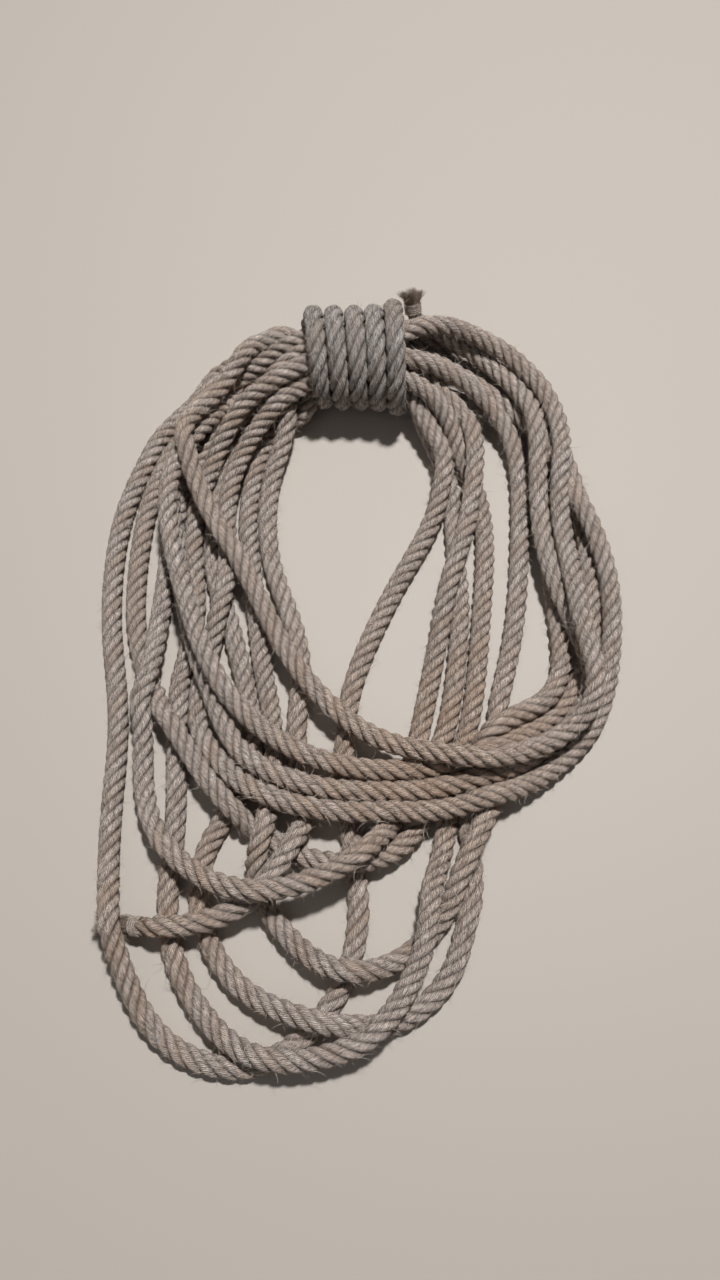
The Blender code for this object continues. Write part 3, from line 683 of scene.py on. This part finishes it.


def fibre_material(name, pale, dark, stain, fleck, strands, yarns, strength):
    """Laid fibre with this many strands, and this many yarns round it. Strength is the bump's."""
    made = bpy.data.materials.new(name)
    made.use_nodes = True
    tree = made.node_tree
    shader = tree.nodes["Principled BSDF"]
    shader.inputs["Roughness"].default_value = 0.92
    shader.inputs["Specular IOR Level"].default_value = 0.2
    straight = add(tree, "ShaderNodeAttribute", attribute_name="straight").outputs["Vector"]
    laid = add(tree, "ShaderNodeAttribute", attribute_name="laid").outputs["Vector"]

    def noise(vector, across, lengthwise, detail, rough=0.55):
        stretched = add(tree, "ShaderNodeVectorMath", {0: vector, 1: (across, across, lengthwise)},
                        operation="MULTIPLY")
        return add(tree, "ShaderNodeTexNoise", {"Vector": stretched.outputs[0], "Scale": 1.0,
                   "Detail": detail, "Roughness": rough}).outputs["Fac"]

    def ramp(value, low, high, start=0.0, end=1.0):
        return add(tree, "ShaderNodeMapRange", {"Value": value, "From Min": low, "From Max": high,
                   "To Min": start, "To Max": end}, clamp=True).outputs[0]

    def blend(factor, first, second, way="MIX"):
        node = add(tree, "ShaderNodeMix", {"Factor": factor, 6: first, 7: second},
                   data_type="RGBA", blend_type=way)
        return node.outputs[2]

    def number_at(name):
        return add(tree, "ShaderNodeAttribute", attribute_name=name).outputs["Fac"]

    def angle_of(vector):
        parts = add(tree, "ShaderNodeSeparateXYZ", {0: vector}).outputs
        return calc(tree, "ARCTAN2", parts[1], parts[0]), parts[2]

    angle, along_rope = angle_of(straight)
    strand_place = calc(tree, "MULTIPLY", angle_of(laid)[0], strands / (2 * math.pi))
    strand = calc(tree, "FLOOR", strand_place)
    across = calc(tree, "ABSOLUTE", calc(tree, "SUBTRACT", calc(
        tree, "FRACT", strand_place), 0.5))
    sway = calc(tree, "MULTIPLY", noise(straight, 300, 30, 2), 5.0)
    lean = calc(tree, "MULTIPLY", along_rope, yarns * YARN_LEAN)
    phase = calc(tree, "ADD", calc(tree, "MULTIPLY", angle, float(yarns)), lean)
    phase = calc(tree, "ADD", calc(tree, "ADD", phase, sway), calc(tree, "MULTIPLY", strand, 2.4))
    trough = calc(tree, "ADD", calc(tree, "MULTIPLY", calc(tree, "SINE", phase), 0.5), 0.5)
    gaps = calc(tree, "POWER", trough, 3.0)
    number = calc(tree, "FLOOR", calc(tree, "DIVIDE", calc(
        tree, "ADD", phase, math.pi / 2), 2 * math.pi))
    yarn_place = add(tree, "ShaderNodeCombineXYZ", {
        "X": calc(tree, "MULTIPLY", number, 1.7), "Y": calc(tree, "MULTIPLY", strand, 3.3),
        "Z": calc(tree, "MULTIPLY", along_rope, 30.0)}).outputs[0]
    tint = noise(yarn_place, 1.0, 1.0, 1)

    fibres = noise(straight, 900, 75, 4, 0.75)
    flecks = noise(straight, 1500, 330, 2, 0.6)
    patches = noise(laid, 1.4, 16, 3)
    drift = noise(laid, 0.2, 2.4, 2)
    colour = blend(ramp(fibres, 0.40, 0.58), (*dark, 1), (*pale, 1))
    colour = blend(ramp(flecks, 0.54, 0.64, 0.0, 0.8), colour, (*fleck, 1))
    colour = blend(ramp(drift, 0.45, 0.62, 0.0, 0.6), colour, (*stain, 1))
    colour = blend(ramp(patches, 0.30, 0.60, 0.30, 0.0), colour, (*dark, 1))
    colour = blend(number_at("soil"), colour, SOIL_TINT, "MULTIPLY")
    # painted shade: greyer and darker on the binding
    colour = blend(number_at("grime"), colour, BINDING_PAINTED_SHADE, "MULTIPLY")
    pits = ramp(flecks, 0.36, 0.46, 0.45, 1.0)
    # per-yarn tint, and painted shade in the gaps between the yarns
    tone = calc(tree, "MULTIPLY", ramp(tint, 0.30, 0.70, 0.74, 1.16),
                ramp(gaps, 0.0, 1.0, 1.0, 0.5))
    tone = calc(tree, "MULTIPLY", tone, pits)
    # painted shade in the grooves between the strands
    groove_shade_mask = calc(tree, "ADD", across, calc(tree, "MULTIPLY", calc(
        tree, "SUBTRACT", fibres, 0.5), 0.22))
    tone = calc(tree, "MULTIPLY", tone, ramp(groove_shade_mask, 0.26, 0.50, 1.0, GROOVE_PAINTED_SHADE))
    shade = add(tree, "ShaderNodeVectorMath", {0: colour, "Scale": tone}, operation="SCALE")
    tree.links.new(shade.outputs[0], shader.inputs["Base Color"])
    height = calc(tree, "SUBTRACT", calc(tree, "ADD", fibres, flecks), calc(
        tree, "MULTIPLY", gaps, 0.6))
    bump = add(tree, "ShaderNodeBump",
               {"Height": height, "Strength": strength, "Distance": 0.0006})
    tree.links.new(bump.outputs[0], shader.inputs["Normal"])
    return made


rope_fibre = fibre_material("rope_fibre", pale=(0.86, 0.74, 0.67), dark=(0.38, 0.30, 0.25),
                            stain=(0.62, 0.47, 0.37), fleck=(0.96, 0.90, 0.84),
                            strands=STRANDS, yarns=36, strength=1.0)
print("material", rope_fibre.name)

# %% The rope
def keep_above_table(made):
    for vert in made.data.vertices:
        vert.co.z = max(vert.co.z, 0.0)


body = (run > LOW_WHIP - END_STUB) & (run < rope_length - TOP_WHIP + END_STUB)
rope_path = path_mesh("rope_path", [line[body]], thick=[radius[body]], twist=[twist[body]],
                      soil=[soil[body]], grime=[bound[body]])
rope = grow("rope_laid", rope_path, laid_rope, Strands=STRANDS, Sides=20, Step=0.00296,
            Fullness=0.505, Lumps=0.0007, Material=rope_fibre)
keep_above_table(rope)
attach(rope, "root")
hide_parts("rope")

# %% [markdown]
# ## Whippings
# A whipping is twine wound tightly round the rope so that it can't come unlaid. The twine is the
# same tree with two strands. Its path is a helix round the end of the rope.

# %% Whippings
TWINE_POINTS = 28            # points in one turn of twine


def place_at(distance):
    """Place at a distance along the rope."""
    return np.array([np.interp(distance, run, line[:, k]) for k in range(3)])


def frame_at(distance):
    """Place, direction and two crosswise directions at a distance along the rope."""
    here = place_at(distance)
    ahead = place_at(min(distance + LAY_STEP / 2, rope_length))
    behind = place_at(max(distance - LAY_STEP / 2, 0))
    axis = (ahead - behind) / np.linalg.norm(ahead - behind)
    across = np.cross(axis, (0.3, 0.1, 1.0))
    across /= np.linalg.norm(across)
    return here, axis, across, np.cross(axis, across)


def twine_path(middle):
    """A helix round the rope, with its middle at this distance along it."""
    here, axis, across, over = frame_at(middle)
    wraps = WHIP_LENGTH / TWINE_PITCH
    reach = WAIST * ROPE_D + TWINE_D / 2
    points = []
    for turn in np.linspace(0, wraps, int(wraps * TWINE_POINTS)):
        angle = 2 * math.pi * turn
        shift = (turn / wraps - 0.5) * WHIP_LENGTH
        points.append(here + axis * shift + reach * (math.cos(angle) * across
                                                     + math.sin(angle) * over))
    return np.array(points)


twine_fibre = fibre_material("twine_fibre", pale=(0.98, 0.85, 0.75), dark=(0.64, 0.51, 0.41),
                             stain=(0.84, 0.70, 0.58), fleck=(1.00, 0.93, 0.87),
                             strands=2, yarns=8, strength=0.5)
for name, middle in (("whipping_low", LOW_WHIP), ("whipping_top", rope_length - TOP_WHIP)):
    path = twine_path(middle)
    twine = path_mesh(name, [path], thick=[np.full(len(path), TWINE_D / 2)],
                      twist=[2 * math.pi * along(path) / TWINE_LAY])
    turns = grow(name + "_twine", twine, laid_rope, Strands=2, Sides=10, Step=0.0009,
                 Fullness=0.62, Lumps=0.0, Material=twine_fibre)
    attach(turns, "root")
    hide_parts(name)

# %% [markdown]
# ## Frayed ends
# Beyond the twine the four strands open out and their fibres go their own ways. Each fibre is a
# chain of points that starts inside the whipping, follows its strand, and wanders more and more
# towards its tip. A second tree turns the chains into thin three-sided hairs.

# %% Hair tree
def hair_tree():
    tree, given = geometry_tree("hairs on lines", Material=None)
    lines = add(tree, "GeometryNodeMeshToCurve", {"Mesh": given["Geometry"]})
    thick = add(tree, "GeometryNodeInputNamedAttribute", {"Name": "thick"}, data_type="FLOAT")
    lines = add(tree, "GeometryNodeSetCurveRadius",
                {"Curve": lines.outputs[0], "Radius": thick.outputs["Attribute"]})
    section = add(tree, "GeometryNodeCurvePrimitiveCircle", {"Resolution": 3, "Radius": 1.0})
    hairs = add(tree, "GeometryNodeCurveToMesh", {"Curve": lines.outputs[0],
                "Profile Curve": section.outputs[0], "Fill Caps": True})
    if "Scale" in hairs.inputs:
        tree.links.new(thick.outputs["Attribute"], hairs.inputs["Scale"])
    finish_tree(tree, hairs.outputs[0], given["Material"])
    return tree


hairs_on_lines = hair_tree()
print("hair tree:", len(hairs_on_lines.nodes), "nodes")

# %% Frayed ends
FRAY_HAIRS, FRAY_RADIUS = 900, 0.00016
FRAY_TURN = 0.8              # angle that the strands still turn through beyond the whipping
FRAY_DRIFT, FRAY_WAVE = 0.0016, 0.0009   # how far a hair strays by its tip, and how far it waves
FRAY_STRAND = 0.36           # radius of one strand's hairs, over the radius at the waist
FRAY_SPREAD = 0.50           # and how far that strand is from the middle
ENDS = {
    "fray_low": dict(whip=LOW_WHIP, way=-1, length=LOW_WHIP, opening=1.2),
    "fray_top": dict(whip=rope_length - TOP_WHIP, way=1, length=TOP_WHIP, opening=1.3)}


def frayed_paths(whip, way, length, opening, chance):
    """Chains of points from a whipping to the rope's tip. The tip lies at smaller distances
    along the rope when way is -1."""
    paths, radii = [], []
    steps = np.linspace(0, 1, 6)
    for _ in range(FRAY_HAIRS):
        home = 2 * math.pi * chance.integers(STRANDS) / STRANDS + chance.normal(0, 0.12)
        inner = FRAY_STRAND * WAIST * ROPE_D * math.sqrt(chance.random())
        inner_angle = chance.uniform(0, 2 * math.pi)
        reach = length * chance.uniform(0.70, 1.05)
        stray = chance.normal(0, 1, (2, 2))
        path = []
        for s in steps:
            here, axis, across, over = frame_at(whip + way * reach * s)
            spread = FRAY_SPREAD * WAIST * ROPE_D * (1 + opening * s ** 1.3)
            x = spread * math.cos(home + FRAY_TURN * s) + inner * math.cos(inner_angle)
            y = spread * math.sin(home + FRAY_TURN * s) + inner * math.sin(inner_angle)
            drift, wave = FRAY_DRIFT * s ** 2, FRAY_WAVE * math.sin(5 * s)
            x += drift * stray[0, 0] + wave * stray[1, 0]
            y += drift * stray[0, 1] + wave * stray[1, 1]
            path.append(here + across * x + over * y)
        paths.append(np.array(path))
        radii.append(FRAY_RADIUS * (1 - 0.6 * steps))
    return paths, radii


def tuft_material(name, pale, dark):
    """Matt fibre that is pale in some spots and dark in others."""
    made = plain_material(name, dark, 0.9)
    tree = made.node_tree
    place = add(tree, "ShaderNodeTexCoord").outputs["Object"]
    spots = add(tree, "ShaderNodeTexNoise", {"Vector": place, "Scale": 600.0, "Detail": 3.0,
                "Roughness": 0.7}).outputs["Fac"]
    share = add(tree, "ShaderNodeMapRange", {"Value": spots, "From Min": 0.42,
                "From Max": 0.60}, clamp=True).outputs[0]
    tint = add(tree, "ShaderNodeMix", {"Factor": share, 6: (*dark, 1), 7: (*pale, 1)},
               data_type="RGBA").outputs[2]
    tree.links.new(tint, tree.nodes["Principled BSDF"].inputs["Base Color"])
    return made


fray_fibre = tuft_material("fray_fibre", pale=(0.47, 0.38, 0.30), dark=(0.20, 0.14, 0.10))
chance = np.random.default_rng(SEED)
for name, end in ENDS.items():
    paths, radii = frayed_paths(chance=chance, **end)
    tuft = grow(name, path_mesh(name, paths, thick=radii), hairs_on_lines, Material=fray_fibre)
    keep_above_table(tuft)
    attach(tuft, "root")

# %% [markdown]
# ## Stray fibres
# Worn rope is covered with short fibres that have worked loose. They start along a yarn and
# curl away from it. Points are scattered over the rope's skin, and at each one stands a little
# bent hair, turned roughly along the rope.

# %% Stray-fibre tree
def stray_fibre_tree():
    tree, given = geometry_tree("stray fibres", Count=1000.0, Length=0.006, Thickness=0.00012,
                                Seed=1, Material=None)
    points = add(tree, "GeometryNodeDistributePointsOnFaces",
                 {"Mesh": given["Geometry"], "Density": given["Count"], "Seed": given["Seed"]},
                 distribute_method="RANDOM")
    bend = add(tree, "GeometryNodeCurveQuadraticBezier",
               {"Resolution": 3, "Start": (0, 0, 0), "Middle": (0.55, 0, 0.05),
                "End": (1.0, 0, 0.55)})
    part = add(tree, "GeometryNodeSplineParameter").outputs["Factor"]
    taper = calc(tree, "SUBTRACT", 1.0, calc(tree, "MULTIPLY", part, 0.75))
    width = calc(tree, "MULTIPLY", calc(
        tree, "DIVIDE", given["Thickness"], given["Length"]), taper)
    bend = add(tree, "GeometryNodeSetCurveRadius", {"Curve": bend.outputs[0], "Radius": width})
    section = add(tree, "GeometryNodeCurvePrimitiveCircle", {"Resolution": 3, "Radius": 1.0})
    hair = add(tree, "GeometryNodeCurveToMesh",
               {"Curve": bend.outputs[0], "Profile Curve": section.outputs[0], "Fill Caps": True})
    if "Scale" in hair.inputs:
        tree.links.new(width, hair.inputs["Scale"])
    axis = add(tree, "GeometryNodeInputNamedAttribute", {"Name": "axis"}, data_type="FLOAT_VECTOR")
    lifted = add(tree, "FunctionNodeAlignRotationToVector", {"Vector": points.outputs["Normal"]},
                 axis="Z")
    turned = add(tree, "FunctionNodeAlignRotationToVector",
                 {"Rotation": lifted.outputs[0], "Vector": axis.outputs["Attribute"]},
                 axis="X", pivot_axis="Z")
    yaw = add(tree, "FunctionNodeRandomValue", {"Min": (-0.25, -0.30, -0.75),
              "Max": (0.25, 0.30, 0.75), "Seed": given["Seed"]}, data_type="FLOAT_VECTOR")
    flip = add(tree, "FunctionNodeRandomValue", {"Probability": 0.5, "Seed": 11},
               data_type="BOOLEAN")
    half = calc(tree, "MULTIPLY", flip.outputs[3], math.pi)
    spin = add(tree, "ShaderNodeCombineXYZ", {"Z": half})
    jitter = add(tree, "FunctionNodeRotateRotation", {"Rotation": turned.outputs[0],
                 "Rotate By": yaw.outputs[0]}, rotation_space="LOCAL")
    way = add(tree, "FunctionNodeRotateRotation", {"Rotation": jitter.outputs[0],
              "Rotate By": spin.outputs[0]}, rotation_space="LOCAL")
    size = add(tree, "FunctionNodeRandomValue", {2: 0.35, 3: 1.6, "Seed": 5}, data_type="FLOAT")
    scale = calc(tree, "MULTIPLY", size.outputs[1], given["Length"])
    hairs = add(tree, "GeometryNodeInstanceOnPoints",
                {"Points": points.outputs["Points"], "Instance": hair.outputs[0],
                 "Rotation": way.outputs[0], "Scale": scale})
    finish_tree(tree, hairs.outputs[0], given["Material"])
    return tree


stray_fibres = stray_fibre_tree()
print("stray fibre tree:", len(stray_fibres.nodes), "nodes")

# %% Stray fibres
stray_fibre = plain_material("stray_fibre", (0.80, 0.70, 0.60), 0.8)
STRAYS = {                   # fibres to a square metre of rope, and how long they are
    "stray_short": dict(Count=11000.0, Length=0.0035, Seed=3),
    "stray_middle": dict(Count=9000.0, Length=0.0048, Seed=6),
    "stray_long": dict(Count=7500.0, Length=0.0064, Seed=4)}
for name, kind in STRAYS.items():
    fuzz = grow(name, rope.data.copy(), stray_fibres, Thickness=0.00013, Material=stray_fibre,
                **kind)
    keep_above_table(fuzz)
    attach(fuzz, "root")
